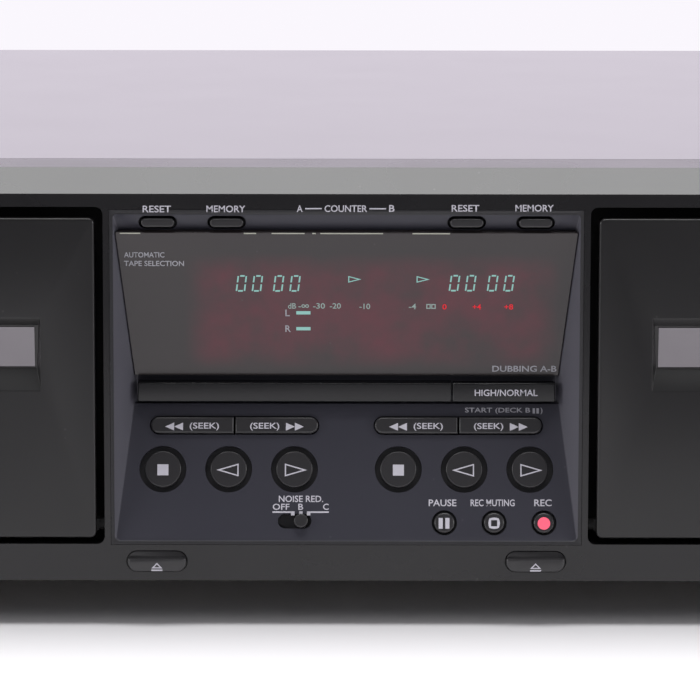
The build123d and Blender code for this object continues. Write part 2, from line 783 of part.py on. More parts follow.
def top_cover():
    front = pan_front + cover_seam
    back = rear_y + sheet
    cover = block(-side_x, side_x, front, back, height - sheet, height)
    cover += block(-side_x, side_x, rear_y, back, height - cover_rear_lip, height)
    for side in (-1, 1):
        x0, x1 = sorted((side * side_x, side * pan_x))
        cover += block(x0, x1, front, back, foot_height + 4, height)
    long_edges = cover.edges().filter_by(Axis.Y).filter_by_position(Axis.Z, height - 0.01,
                                                                    height + 0.01)
    cover = fillet(long_edges, sheet * 0.9)
    for x, z, y in side_screws():
        cover -= Pos(x, y, z) * Rot(0, 90, 0) * Cylinder(screw_radius + shaft_gap, 6)
    for x, z in rear_screws():
        cover -= rod(x, z, rear_y - 1, back + 1, screw_radius + shaft_gap)
    return cover


def case_screws():
    screws = []
    for x, z, y in side_screws():
        side = math.copysign(1, x)
        head = Cylinder(screw_head_radius, screw_head)
        shank = Cylinder(screw_radius, screw_length)
        turn = Rot(0, 90, 0)
        screws.append(Pos(x + side * screw_head / 2, y, z) * turn * head
                      + Pos(x - side * (screw_length / 2 - 0.5), y, z) * turn * shank)
    for x, z in rear_screws():
        back = rear_y + sheet
        screws.append(rod(x, z, back, back + screw_head, screw_head_radius)
                      + rod(x, z, back - screw_length, back + 0.5, screw_radius))
    return group(*screws)


def jack_places():
    return [(jack_x + i * jack_spacing_x / 2, jack_z + j * jack_spacing_z / 2)
            for i in (-1, 1) for j in (-1, 1)]


def rear_panel():
    panel = block(-pan_x + sheet, pan_x - sheet, rear_y - sheet, rear_y, foot_height, height - sheet)
    for x, z in jack_places():
        panel -= rod(x, z, rear_y - sheet - 1, rear_y + 1, jack_radius + 0.1)
    panel -= rod(gland_x, gland_z, rear_y - sheet - 1, rear_y + 1, gland_radius + 0.1)
    for x, z in rear_screws():
        panel -= rod(x, z, rear_y - sheet - 1, rear_y + 1, screw_radius + shaft_gap)
    return panel


def rca_jacks():
    """Four phono sockets on one insulating block behind the rear panel."""
    reach_x = jack_spacing_x / 2 + 9
    reach_z = jack_spacing_z / 2 + 9
    jacks = block(jack_x - reach_x, jack_x + reach_x, rear_y - sheet - 10, rear_y - sheet,
                  jack_z - reach_z, jack_z + reach_z)
    for x, z in jack_places():
        jacks += rod(x, z, rear_y - sheet, rear_y + jack_stand, jack_radius)
        jacks += rod(x, z, rear_y, rear_y + jack_flange, jack_flange_radius)
        jacks -= rod(x, z, rear_y - 6, rear_y + jack_stand + 1, jack_bore)
    return jacks


def cord_gland():
    gland = rod(gland_x, gland_z, rear_y - sheet - 9, rear_y, gland_radius)
    gland += rod(gland_x, gland_z, rear_y, rear_y + gland_flange, gland_radius + 2)
    gland += rod(gland_x, gland_z, rear_y - sheet - 3, rear_y - sheet, gland_radius + 2)
    return gland - rod(gland_x, gland_z, rear_y - 20, rear_y + 5, gland_bore)


def feet():
    legs = []
    for x in (-half_width + foot_inset_x, half_width - foot_inset_x):
        for y in (front_y + foot_inset_y, rear_y - foot_inset_y):
            foot = Pos(x, y, foot_height / 2) * Cylinder(foot_radius, foot_height)
            rim = foot.edges().filter_by(GeomType.CIRCLE).sort_by(Axis.Z)[0]
            legs.append(chamfer(rim, 1.5))
    return group(*legs)


def main_board():
    """The circuit board on its posts, with the larger parts that stand on it."""
    x0, x1 = -60.0, half_width - 25
    top = board_z + board_thickness
    solids = [block(x0, x1, board_front, board_rear, board_z, top)]
    for x in (x0 + 6, x1 - 6):
        for y in (board_front + 6, board_rear - 6):
            solids.append(Pos(x, y, (floor_top + board_z) / 2) * Cylinder(3, board_z - floor_top))
    for x in (-30, -8, 14):
        can = Cylinder(8, 30)
        solids.append(Pos(x, board_rear - 25, top + 15) * can)
    solids.append(block(40, 100, board_rear - 40, board_rear - 28, top, top + 35))
    for x in (60, 105, 150):
        solids.append(block(x - 18, x + 18, board_front + 60, board_front + 72, top, top + 4))
    return group(*solids)


def power_transformer():
    """Laminated core with its winding, bolted to the pan."""
    long, deep, tall = transformer_size
    x, y = -150.0, rear_y - 20 - deep
    core = block(x - long / 2, x + long / 2, y - deep / 3, y + deep / 3, floor_top,
                 floor_top + tall)
    coil = block(x - long / 4, x + long / 4, y - deep / 2, y + deep / 2, floor_top + 6,
                 floor_top + tall - 6)
    foot = block(x - long / 2 - 10, x + long / 2 + 10, y - 8, y + 8, floor_top, floor_top + 1.5)
    return core + coil + foot


# ---------------------------------------------------------------- assembly
keep("front_panel", front_panel())
keep("centre_fascia", centre_fascia())
keep("display_window", display_window())
keep("display_tube", display_tube())
keep("dubbing_trim", dubbing_trim())
keep("dubbing_button", dubbing_button())
keep("noise_switch", noise_switch())
keep("power_button", power_button())
keep("rec_level_knob", rec_level_knob())
keep("phones_jack", phones_jack())
for name, x in zip(("pause_button", "rec_muting_button", "rec_button"), record_x):
    keep(name, round_button(x, record_rise, record_radius, record_hole, record_stand, 0.6))

for deck, side in (("a", -1), ("b", 1)):
    across = sorted(side * x for x in counter_x)
    keep(f"reset_button_{deck}", counter_button(across[0]))
    keep(f"memory_button_{deck}", counter_button(across[1]))
    keep(f"rewind_button_{deck}", pill_button(side, -1))
    keep(f"forward_button_{deck}", pill_button(side, 1))
    for name, x in zip(("stop", "reverse", "play"), sorted(side * x for x in transport_x)):
        keep(f"{name}_button_{deck}", round_button(x, transport_rise, transport_radius,
                                                   transport_hole, transport_stand, 0.35))
    keep(f"eject_button_{deck}", eject_button(side))
    keep(f"door_cover_{deck}", door_cover(side))
    keep(f"door_window_{deck}", door_window(side))
    keep(f"cassette_holder_{deck}", cassette_holder(side))
    keep(f"mechanism_frame_{deck}", mechanism_frame(side))
    keep(f"head_carriage_{deck}", head_carriage(side))
    keep(f"motor_pulley_{deck}", motor_pulley(side))
    for edge_name, edge in (("left", -1), ("right", 1)):
        keep(f"{edge_name}_spindle_{deck}", spindle(side, edge))
        keep(f"{edge_name}_flywheel_{deck}", flywheel_part(side, edge))

keep("capstan_motors", group(capstan_motor(-1), capstan_motor(1)))
keep("drive_belts", group(drive_belt(-1), drive_belt(1)))
keep("chassis_pan", chassis_pan())
keep("rear_panel", rear_panel())
keep("top_cover", top_cover())
keep("case_screws", case_screws())
keep("feet", feet())
keep("rca_jacks", rca_jacks())
keep("cord_gland", cord_gland())
keep("main_board", main_board())
keep("power_transformer", power_transformer())

for name, shape in nodes.items():
    export_step(shape, f"parts/{name}.step")
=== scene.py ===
import math
import bmesh
import bpy
from mathutils import Matrix, Vector


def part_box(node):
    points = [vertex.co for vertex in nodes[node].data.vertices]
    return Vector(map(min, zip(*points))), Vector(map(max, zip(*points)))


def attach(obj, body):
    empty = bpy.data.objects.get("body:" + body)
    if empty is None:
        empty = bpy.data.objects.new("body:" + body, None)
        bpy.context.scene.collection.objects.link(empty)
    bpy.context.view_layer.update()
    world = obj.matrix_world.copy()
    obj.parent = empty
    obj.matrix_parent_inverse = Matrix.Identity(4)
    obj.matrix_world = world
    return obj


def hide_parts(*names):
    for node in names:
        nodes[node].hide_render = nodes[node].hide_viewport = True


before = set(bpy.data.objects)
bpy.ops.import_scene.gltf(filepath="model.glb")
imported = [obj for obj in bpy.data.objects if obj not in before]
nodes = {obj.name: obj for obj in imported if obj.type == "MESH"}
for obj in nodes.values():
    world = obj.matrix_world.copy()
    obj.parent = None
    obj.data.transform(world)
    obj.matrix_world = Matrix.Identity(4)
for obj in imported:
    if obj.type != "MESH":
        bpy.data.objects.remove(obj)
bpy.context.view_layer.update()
MM = 0.001
DECKS = {"a": -1, "b": 1}  # the side of the middle that each deck is on


# ---------------------------------------------------------------- table, room and light
# A white table and a white sweep behind it, a broad soft box overhead and a dim room in
# front, as in a small product studio.
def plain_material(name, colour, rough, glow=0.0):
    material = bpy.data.materials.new(name)
    material.use_nodes = True
    shader = material.node_tree.nodes["Principled BSDF"]
    shader.inputs["Base Color"].default_value = (0, 0, 0, 1) if glow else (*colour, 1)
    shader.inputs["Specular IOR Level"].default_value = 0 if glow else 0.5
    shader.inputs["Roughness"].default_value = rough
    shader.inputs["Emission Color"].default_value = (*colour, 1)
    shader.inputs["Emission Strength"].default_value = glow
    return material


def stage_panel(name, middle, size_x, size_y, tilt, material):
    bm = bmesh.new()
    bmesh.ops.create_grid(bm, x_segments=1, y_segments=1, size=0.5)
    bmesh.ops.scale(bm, vec=(size_x, size_y, 1), verts=bm.verts)
    bmesh.ops.rotate(bm, matrix=Matrix.Rotation(tilt, 3, "X"), verts=bm.verts)
    bmesh.ops.translate(bm, vec=middle, verts=bm.verts)
    mesh = bpy.data.meshes.new(name)
    bm.to_mesh(mesh)
    bm.free()
    panel = bpy.data.objects.new(name, mesh)
    bpy.context.scene.collection.objects.link(panel)
    mesh.materials.append(material)
    return panel


table_white = plain_material("table_white", (0.90, 0.885, 0.905), 0.45)
sweep_white = plain_material("sweep_white", (0.96, 0.93, 0.985), 0.9, glow=1.0)
stage_panel("table", (0, 0.425, -0.0002), 3.2, 1.75, 0, table_white)
UPRIGHT = math.radians(90)
SWEEP_Y, SWEEP_WIDTH = 1.0, 3.6
stage_panel("sweep", (0, SWEEP_Y, 0.035), SWEEP_WIDTH, 0.13, UPRIGHT, sweep_white)
sweep_bright = plain_material("sweep_bright", (1.20, 1.11, 1.25), 0.9, glow=1.0)
stage_panel("sweep_above", (0, SWEEP_Y, 0.75), SWEEP_WIDTH, 1.3, UPRIGHT, sweep_bright)

world = bpy.data.worlds.new("dim_room")
bpy.context.scene.world = world
world.use_nodes = True
world.node_tree.nodes["Background"].inputs["Color"].default_value = (0.93, 0.92, 1.0, 1)
world.node_tree.nodes["Background"].inputs["Strength"].default_value = 0.16


def soft_box(name, place, aim, size, power):
    light = bpy.data.lights.new(name, "AREA")
    light.shape = "RECTANGLE"
    light.size, light.size_y = size
    light.energy = power
    lamp = bpy.data.objects.new(name, light)
    lamp.location = place
    lamp.rotation_euler = (Vector(aim) - Vector(place)).to_track_quat("-Z", "Y").to_euler()
    bpy.context.scene.collection.objects.link(lamp)
    return lamp


soft_box("overhead", (0, -0.12, 1.5), (0, -0.1, 0), (1.3, 1.0), 30)
soft_box("left_card", (-1.3, -0.5, 0.4), (0, -0.1, 0.05), (0.6, 0.5), 5)
soft_box("right_card", (1.3, -0.5, 0.4), (0, -0.1, 0.05), (0.6, 0.5), 5)

# The camera stands in front of the deck, a little above it, with a long lens.
front_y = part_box("front_panel")[0].y
aim = Vector((0.9 * MM, front_y, 73.2 * MM))
camera_rise = math.radians(10.0)
camera_roll = math.radians(0.08)
camera_distance = 1.27
camera_data = bpy.data.cameras.new("camera")
camera_data.lens = 252
camera_data.sensor_width = 36
camera_data.clip_end = 20
camera = bpy.data.objects.new("camera", camera_data)
camera.location = aim + camera_distance * Vector((0, -math.cos(camera_rise), math.sin(camera_rise)))
camera.rotation_euler = (aim - camera.location).to_track_quat("-Z", "Y").to_euler()
camera.rotation_euler.rotate_axis("Z", camera_roll)
bpy.context.scene.collection.objects.link(camera)
bpy.context.scene.camera = camera
bpy.context.scene.view_settings.view_transform = "Standard"


# ---------------------------------------------------------------- top cover
# One wrapped sheet of steel, folded down at both sides and at the rear, under black
# semi-gloss paint. Screws hold it to the pan's side walls and to the rear panel.
def group_socket(tree, name, way, kind, value=None):
    socket = tree.interface.new_socket(name=name, in_out=way, socket_type=kind)
    if value is not None:
        socket.default_value = value
    return socket


def grain_group():
    """Fine grain of a moulding or paint: a height for bump and a small change in roughness."""
    tree = bpy.data.node_groups.new("surface_grain", "ShaderNodeTree")
    group_socket(tree, "Grains per metre", "INPUT", "NodeSocketFloat", 1500)
    group_socket(tree, "Roughness", "INPUT", "NodeSocketFloat", 0.4)
    group_socket(tree, "Unevenness", "INPUT", "NodeSocketFloat", 0.1)
    group_socket(tree, "Height", "OUTPUT", "NodeSocketFloat")
    group_socket(tree, "Roughness", "OUTPUT", "NodeSocketFloat")
    new, link = tree.nodes.new, tree.links.new
    given, result = new("NodeGroupInput"), new("NodeGroupOutput")
    place = new("ShaderNodeTexCoord")
    fine, broad = new("ShaderNodeTexNoise"), new("ShaderNodeTexNoise")
    fine.inputs["Detail"].default_value = 3
    broad.inputs["Scale"].default_value = 35
    broad.inputs["Detail"].default_value = 5
    link(place.outputs["Object"], fine.inputs["Vector"])
    link(place.outputs["Object"], broad.inputs["Vector"])
    link(given.outputs["Grains per metre"], fine.inputs["Scale"])
    centred, spread = new("ShaderNodeMath"), new("ShaderNodeMath")
    centred.operation, spread.operation = "SUBTRACT", "MULTIPLY_ADD"
    link(broad.outputs["Fac"], centred.inputs[0])
    centred.inputs[1].default_value = 0.5
    link(centred.outputs[0], spread.inputs[0])
    link(given.outputs["Unevenness"], spread.inputs[1])
    link(given.outputs["Roughness"], spread.inputs[2])
    link(fine.outputs["Fac"], result.inputs["Height"])
    link(spread.outputs[0], result.inputs["Roughness"])
    return tree


def dust_group():
    """Handling marks and dust: the clean colour with a paler film in patches and specks."""
    tree = bpy.data.node_groups.new("dust_and_wear", "ShaderNodeTree")
    group_socket(tree, "Clean", "INPUT", "NodeSocketColor", (0.02, 0.02, 0.02, 1))
    group_socket(tree, "Dust", "INPUT", "NodeSocketColor", (0.2, 0.2, 0.2, 1))
    group_socket(tree, "Film", "INPUT", "NodeSocketFloat", 0.1)
    group_socket(tree, "Specks", "INPUT", "NodeSocketFloat", 0.3)
    group_socket(tree, "Color", "OUTPUT", "NodeSocketColor")
    new, link = tree.nodes.new, tree.links.new
    given, result = new("NodeGroupInput"), new("NodeGroupOutput")
    place = new("ShaderNodeTexCoord")
    cloud, speck = new("ShaderNodeTexNoise"), new("ShaderNodeTexVoronoi")
    cloud.inputs["Scale"].default_value = 28
    cloud.inputs["Detail"].default_value = 6
    speck.inputs["Scale"].default_value = 260
    link(place.outputs["Object"], cloud.inputs["Vector"])
    link(place.outputs["Object"], speck.inputs["Vector"])
    film = new("ShaderNodeMapRange")
    film.inputs["From Min"].default_value = 0.35
    film.inputs["From Max"].default_value = 0.8
    link(cloud.outputs["Fac"], film.inputs["Value"])
    link(given.outputs["Film"], film.inputs["To Max"])
    spot = new("ShaderNodeMapRange")
    spot.inputs["From Min"].default_value = 0.11
    spot.inputs["From Max"].default_value = 0.05
    link(speck.outputs["Distance"], spot.inputs["Value"])
    sparse, keep = new("ShaderNodeMath"), new("ShaderNodeMath")
    sparse.operation, keep.operation = "GREATER_THAN", "MULTIPLY"
    sparse.inputs[1].default_value = 0.86
    split = new("ShaderNodeSeparateColor")
    link(speck.outputs["Color"], split.inputs["Color"])
    link(split.outputs["Red"], sparse.inputs[0])
    link(sparse.outputs[0], keep.inputs[0])
    link(given.outputs["Specks"], keep.inputs[1])
    link(keep.outputs[0], spot.inputs["To Max"])
    both = new("ShaderNodeMath")
    both.operation = "ADD"
    both.use_clamp = True
    link(film.outputs["Result"], both.inputs[0])
    link(spot.outputs["Result"], both.inputs[1])
    mix = new("ShaderNodeMix")
    mix.data_type = "RGBA"
    link(both.outputs[0], mix.inputs["Factor"])
    link(given.outputs["Clean"], mix.inputs["A"])
    link(given.outputs["Dust"], mix.inputs["B"])
    link(mix.outputs["Result"], result.inputs["Color"])
    return tree


GRAIN = grain_group()
DUST = dust_group()


def surface(name, clean, dust, film=0.06, specks=0.25, rough=0.4, uneven=0.1,
            grains=1800, depth=0.02, metallic=0.0, ior=1.5, coat=0.0):
    """A finish: clean colour with dust on it, uneven gloss and a fine grain in the bump."""
    material = bpy.data.materials.new(name)
    material.use_nodes = True
    tree = material.node_tree
    shader = tree.nodes["Principled BSDF"]
    shader.inputs["Metallic"].default_value = metallic
    shader.inputs["IOR"].default_value = ior
    shader.inputs["Coat Weight"].default_value = coat
    shader.inputs["Coat Roughness"].default_value = 0.08
    grain, dirt = tree.nodes.new("ShaderNodeGroup"), tree.nodes.new("ShaderNodeGroup")
    grain.node_tree, dirt.node_tree = GRAIN, DUST
    grain.inputs["Grains per metre"].default_value = grains
    grain.inputs["Roughness"].default_value = rough
    grain.inputs["Unevenness"].default_value = uneven
    dirt.inputs["Clean"].default_value = (*clean, 1)
    dirt.inputs["Dust"].default_value = (*dust, 1)
    dirt.inputs["Film"].default_value = film
    dirt.inputs["Specks"].default_value = specks
    bump = tree.nodes.new("ShaderNodeBump")
    bump.inputs["Strength"].default_value = 0.6
    bump.inputs["Distance"].default_value = depth * MM
    tree.links.new(grain.outputs["Height"], bump.inputs["Height"])
    tree.links.new(grain.outputs["Roughness"], shader.inputs["Roughness"])
    tree.links.new(dirt.outputs["Color"], shader.inputs["Base Color"])
    tree.links.new(bump.outputs["Normal"], shader.inputs["Normal"])
    return material


def dress(names, material):
    """Gives a CAD part its finish."""
    for name in names:
        mesh = nodes[name].data
        mesh.materials.clear()
        mesh.materials.append(material)


cover_paint = surface("cover_paint", (0.022, 0.021, 0.024), (0.16, 0.155, 0.16), film=0.05,
                      specks=0.2, rough=0.14, uneven=0.05, grains=900, depth=0.004, ior=2.3)
dress(["top_cover"], cover_paint)


# ---------------------------------------------------------------- front panel
# A black ABS moulding, hollow behind, with a bevelled top edge and a walled well for each
# door. Its edges are moulded with a small radius, which catches the light.
def merged_copy(node, name):
    """A CAD part's skin as a new welded mesh, with its flat faces whole."""
    bm = bmesh.new()
    bm.from_mesh(nodes[node].data)
    bmesh.ops.remove_doubles(bm, verts=bm.verts, dist=0.002 * MM)
    bmesh.ops.dissolve_limit(bm, angle_limit=math.radians(1.0), verts=bm.verts, edges=bm.edges)
    return bm


def add_piece(name, bm, body, material, stands_for=()):
    mesh = bpy.data.meshes.new(name)
    bm.to_mesh(mesh)
    bm.free()
    piece = bpy.data.objects.new(name, mesh)
    bpy.context.scene.collection.objects.link(piece)
    mesh.materials.append(material)
    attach(piece, body)
    if stands_for:
        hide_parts(*stands_for)
    return piece


def soften(piece, width, angle=40, segments=2):
    """A moulded radius on every sharp edge."""
    bevel = piece.modifiers.new("edge_radius", "BEVEL")
    bevel.limit_method = "ANGLE"
    bevel.angle_limit = math.radians(angle)
    bevel.width = width
    bevel.segments = segments
    bevel.harden_normals = True
    bevel.use_clamp_overlap = True
    for polygon in piece.data.polygons:
        polygon.use_smooth = True
    piece.data.set_sharp_from_angle(angle=math.radians(angle))
    return piece


def moulded(node, body, material, width, angle=40):
    """The CAD part again, as one welded piece with softened edges."""
    piece = add_piece(node + "_moulding", merged_copy(node, node), body, material, [node])
    return soften(piece, width, angle)


panel_plastic = surface("panel_plastic", (0.009, 0.0085, 0.0095), (0.10, 0.095, 0.10),
                        film=0.04, specks=0.25, rough=0.27, uneven=0.08, grains=2600, depth=0.006)
moulded("front_panel", "case", panel_plastic, 0.25 * MM)


# ---------------------------------------------------------------- centre fascia
# A separate blue-black moulding set into the panel: the display slope above, the control
# slope below. Tabs behind the panel's skin hold it.
fascia_plastic = surface("fascia_plastic", (0.030, 0.0295, 0.042), (0.12, 0.12, 0.14), film=0.05,
                         specks=0.2, rough=0.5, uneven=0.06, grains=3000, depth=0.010)


def fitted(tree, value, low, high):
    """0 below low and 1 above high, smoothly."""
    step = tree.nodes.new("ShaderNodeMapRange")
    step.interpolation_type = "SMOOTHSTEP"
    step.inputs["From Min"].default_value = low
    step.inputs["From Max"].default_value = high
    tree.links.new(value, step.inputs["Value"])
    return step.outputs["Result"]


def add_tone(material, mask, colour):
    """Mixes another colour in under the dust, where mask is 1, for the rim's black and for painted
    light.
    """
    tree = material.node_tree
    dirt = next(node for node in tree.nodes if node.type == "GROUP" and node.node_tree == DUST)
    mix = tree.nodes.new("ShaderNodeMix")
    mix.data_type = "RGBA"
    mix.inputs["A"].default_value = dirt.inputs["Clean"].default_value
    mix.inputs["B"].default_value = (*colour, 1)
    for link in dirt.inputs["Clean"].links:
        tree.links.new(link.from_socket, mix.inputs["A"])
    tree.links.new(mask, mix.inputs["Factor"])
    tree.links.new(mix.outputs["Result"], dirt.inputs["Clean"])


def object_axes(tree):
    place, split = tree.nodes.new("ShaderNodeTexCoord"), tree.nodes.new("ShaderNodeSeparateXYZ")
    tree.links.new(place.outputs["Object"], split.inputs["Vector"])
    return split.outputs["X"], split.outputs["Y"], split.outputs["Z"]


def weighted_sum(tree, first, second, factor):
    """first + second * factor."""
    node = tree.nodes.new("ShaderNodeMath")
    node.operation = "MULTIPLY_ADD"
    tree.links.new(second, node.inputs[0])
    node.inputs[1].default_value = factor
    tree.links.new(first, node.inputs[2])
    return node.outputs[0]


def product(tree, first, second):
    node = tree.nodes.new("ShaderNodeMath")
    node.operation = "MULTIPLY"
    tree.links.new(first, node.inputs[0])
    tree.links.new(second, node.inputs[1])
    return node.outputs[0]


def magnitude(tree, value, middle):
    """Distance from a middle value."""
    shift, size = tree.nodes.new("ShaderNodeMath"), tree.nodes.new("ShaderNodeMath")
    shift.operation, size.operation = "SUBTRACT", "ABSOLUTE"
    tree.links.new(value, shift.inputs[0])
    shift.inputs[1].default_value = middle
    tree.links.new(shift.outputs[0], size.inputs[0])
    return size.outputs[0]


# The drafted side walls get a paler colour, a painted highlight for the light from above that
# they catch, and the rim takes the panel's own black. RECESS_DRAFT is the tangent of the walls' draft.
RECESS_HALF, RECESS_DRAFT = 60.5 * MM, 0.394
tree = fascia_plastic.node_tree
x_axis, y_axis, z_axis = object_axes(tree)
reach = weighted_sum(tree, magnitude(tree, x_axis, 0), y_axis, RECESS_DRAFT)
wall_at = RECESS_HALF + RECESS_DRAFT * front_y
add_tone(fascia_plastic, fitted(tree, reach, wall_at - 0.35 * MM, wall_at - 0.15 * MM),
         (0.085, 0.083, 0.102))
rim = magnitude(tree, y_axis, front_y - 10 * MM)
add_tone(fascia_plastic, fitted(tree, rim, 10.35 * MM, 10.15 * MM), (0.016, 0.0155, 0.018))
moulded("centre_fascia", "case", fascia_plastic, 0.12 * MM)

# ---------------------------------------------------------------- display window
# A sheet of smoked acrylic on the upper slope, over a glass display tube.
window_acrylic = surface("window_acrylic", (0.032, 0.026, 0.027), (0.09, 0.085, 0.085),
                         film=0.05, specks=0.3, rough=0.18, uneven=0.12, grains=500, depth=0.002)


# The lit display's red glow is painted into the smoked sheet's colour in a soft-edged rectangle.
tree = window_acrylic.node_tree
x_axis, y_axis, z_axis = object_axes(tree)
across = fitted(tree, magnitude(tree, x_axis, 7 * MM), 50 * MM, 41 * MM)
rise = fitted(tree, magnitude(tree, z_axis, 82 * MM), 17 * MM, 10 * MM)
cloud = tree.nodes.new("ShaderNodeTexNoise")
cloud.inputs["Scale"].default_value = 90
cloud.inputs["Detail"].default_value = 5
place = tree.nodes.new("ShaderNodeTexCoord")
tree.links.new(place.outputs["Object"], cloud.inputs["Vector"])
patchy = fitted(tree, cloud.outputs["Fac"], 0.1, 0.8)
glow = product(tree, product(tree, across, rise), patchy)
add_tone(window_acrylic, glow, (0.115, 0.019, 0.032))
moulded("display_window", "case", window_acrylic, 0.2 * MM)
tube_glass = surface("tube_glass", (0.05, 0.06, 0.06), (0.1, 0.1, 0.1), rough=0.1)
dress(["display_tube"], tube_glass)

# ---------------------------------------------------------------- bar and buttons
# Smooth black mouldings. Each cap slides in its own hole, and a return spring, which is
# not modelled here, pushes it out.
button_black = surface("button_black", (0.030, 0.029, 0.031), (0.11, 0.11, 0.115), film=0.05,
                       specks=0.2, rough=0.30, uneven=0.08, grains=2200, depth=0.004)
bar_black = surface("bar_black", (0.006, 0.006, 0.007), (0.11, 0.11, 0.115), film=0.05,
                    specks=0.2, rough=0.22, uneven=0.08, grains=2200, depth=0.003)
moulded("dubbing_trim", "case", bar_black, 0.1 * MM)
moulded("dubbing_button", "dubbing_button", bar_black, 0.1 * MM)
PRESSED = ["pause_button", "rec_muting_button", "rec_button", "power_button", "noise_switch"]
for deck in DECKS:
    for name in ("reset", "memory", "rewind", "forward", "stop", "reverse", "play", "eject"):
        PRESSED.append(f"{name}_button_{deck}")
for name in PRESSED:
    moulded(name, name, button_black, 0.08 * MM, angle=50)

# ---------------------------------------------------------------- printing
# Pale grey screen printing on the panel, the slopes and the caps, only in plain words and
# symbols. Each cap's mark is printed on the cap, so it moves with it.
def face_frame(depth, height, lean):
    """A flat face's axes: X across, Y up the face, Z out of it. It leans back by lean."""
    up = Vector((0, math.sin(lean), math.cos(lean)))
    out = Vector((0, -math.cos(lean), math.sin(lean)))
    start = Vector((0, front_y + depth * MM, height * MM))
    rows = [(1, 0, 0, 0), (0, up.y, out.y, start.y), (0, up.z, out.z, start.z), (0, 0, 0, 1)]
    return Matrix(rows)


# Depths are behind the front face and heights are above the floor, in mm.
VALLEY = 12.0              # depth of both slopes' inner ends
BAR_DEPTH = 9.3
CONTROL_LIP, CONTROL_FOOT, CONTROL_RISE = 0.5, 22.4, 34.4
WINDOW_LIP, WINDOW_HEAD, WINDOW_DROP = 0.8, 103.8, 39.5
PANEL_FACE = face_frame(0, 0, 0)
BAR_FACE = face_frame(BAR_DEPTH, 0, 0)
CONTROL_SLOPE = face_frame(CONTROL_LIP, CONTROL_FOOT, math.atan2(VALLEY - CONTROL_LIP, CONTROL_RISE))
WINDOW_SLOPE = face_frame(WINDOW_LIP, WINDOW_HEAD, -math.atan2(VALLEY - WINDOW_LIP, WINDOW_DROP))
INK_LIFT = 0.03            # ink stands off its face, in mm


def word(bm, face, text, middle, size, lift=INK_LIFT):
    """Lettering in bm on a face; middle and size are (across, up) in mm."""
    curve = bpy.data.curves.new("word", "FONT")
    curve.body = text
    curve.resolution_u = 3
    curve.offset = 0.012
    holder = bpy.data.objects.new("word", curve)
    bpy.context.scene.collection.objects.link(holder)
    mesh = bpy.data.meshes.new_from_object(holder)
    bpy.data.objects.remove(holder)
    bpy.data.curves.remove(curve)
    low = [min(v.co[i] for v in mesh.vertices) for i in (0, 1)]
    high = [max(v.co[i] for v in mesh.vertices) for i in (0, 1)]
    for vertex in mesh.vertices:
        across, up = [middle[i] + size[i] * ((vertex.co[i] - low[i]) / (high[i] - low[i]) - 0.5)
                      for i in (0, 1)]
        vertex.co = face @ (Vector((across, up, lift)) * MM)
    bm.from_mesh(mesh)
    bpy.data.meshes.remove(mesh)


def patch(bm, face, points, lift=INK_LIFT):
    """One flat printed shape; points are (across, up) in mm, anticlockwise."""
    bm.faces.new([bm.verts.new(face @ (Vector((*point, lift)) * MM)) for point in points])


def strip(bm, face, middle, size, lift=INK_LIFT):
    across, up = size[0] / 2, size[1] / 2
    x, y = middle
    patch(bm, face, [(x - across, y - up), (x + across, y - up), (x + across, y + up),
                     (x - across, y + up)], lift)


def ring(bm, face, outer, inner, lift=INK_LIFT):
    """A printed line between two loops with as many points each."""
    for i, point in enumerate(outer):
        follow = (i + 1) % len(outer)
        patch(bm, face, [point, outer[follow], inner[follow], inner[i]], lift)


def triangle(middle, size, way):
    """Corners of a triangle that points along way (1 is right, -1 is left)."""
    x, y = middle
    corners = [(x - way * size[0] / 2, y - size[1] / 2), (x + way * size[0] / 2, y),
               (x - way * size[0] / 2, y + size[1] / 2)]
    return corners if way > 0 else corners[::-1]


def triangle_outline(bm, face, middle, size, way, line, lift=INK_LIFT):
    corners = [Vector(corner) for corner in triangle(middle, size, way)]
    sides = [(corners[(i + 1) % 3] - corners[(i + 2) % 3]).length for i in range(3)]
    centre = sum((side * corner for side, corner in zip(sides, corners)), Vector((0, 0)))
    centre /= sum(sides)
    radius = size[0] * size[1] / sum(sides)
    inner = [centre + (corner - centre) * (1 - line / radius) for corner in corners]
    ring(bm, face, corners, inner, lift)


def printed(name, bm, body, material):
    bmesh.ops.recalc_face_normals(bm, faces=bm.faces)
    return add_piece(name, bm, body, material)


ink = surface("print_grey", (0.60, 0.585, 0.65), (0.5, 0.5, 0.52), film=0.1, specks=0.0, rough=0.6)
dim_ink = surface("print_dim", (0.42, 0.42, 0.46), (0.3, 0.3, 0.3), film=0.1, specks=0.0, rough=0.6)

bm = bmesh.new()
for text, x, up, wide in (("RESET", -48.97, 110.05, 7.32), ("MEMORY", -31.17, 110.10, 10.03),
                          ("A", -12.12, 110.21, 1.50), ("COUNTER", -0.22, 110.22, 11.01),
                          ("B", 11.63, 110.28, 1.40), ("RESET", 30.63, 110.35, 7.12),
                          ("MEMORY", 48.44, 110.40, 9.88)):
    word(bm, PANEL_FACE, text, (x, up), (wide, 1.78))
for x in (-8.59, 8.02):
    strip(bm, PANEL_FACE, (x, 110.2), (4.3, 0.34))
printed("panel_print", bm, "case", ink)

bm = bmesh.new()
for text, x, up, wide, tall in (("OFF", -17.05, 9.03, 4.39, 1.63), ("B", -11.91, 9.04, 1.3, 1.63),
                                ("C", -5.35, 9.05, 1.5, 1.63), ("NOISE RED.", -11.86, 11.13, 11.6, 1.71),
                                ("PAUSE", 25.15, 10.13, 7.24, 1.8),
                                ("REC MUTING", 38.23, 10.15, 11.5, 1.8),
                                ("REC", 51.39, 10.17, 4.57, 1.8)):
    word(bm, CONTROL_SLOPE, text, (x, up), (wide, tall))
for x in (-16.91, -6.98):
    strip(bm, CONTROL_SLOPE, (x, 7.64), (4.81, 0.40))
for x in (-13.99, -11.88, -9.86):
    strip(bm, CONTROL_SLOPE, (x, 7.30), (0.92, 1.08))
printed("control_print", bm, "case", ink)

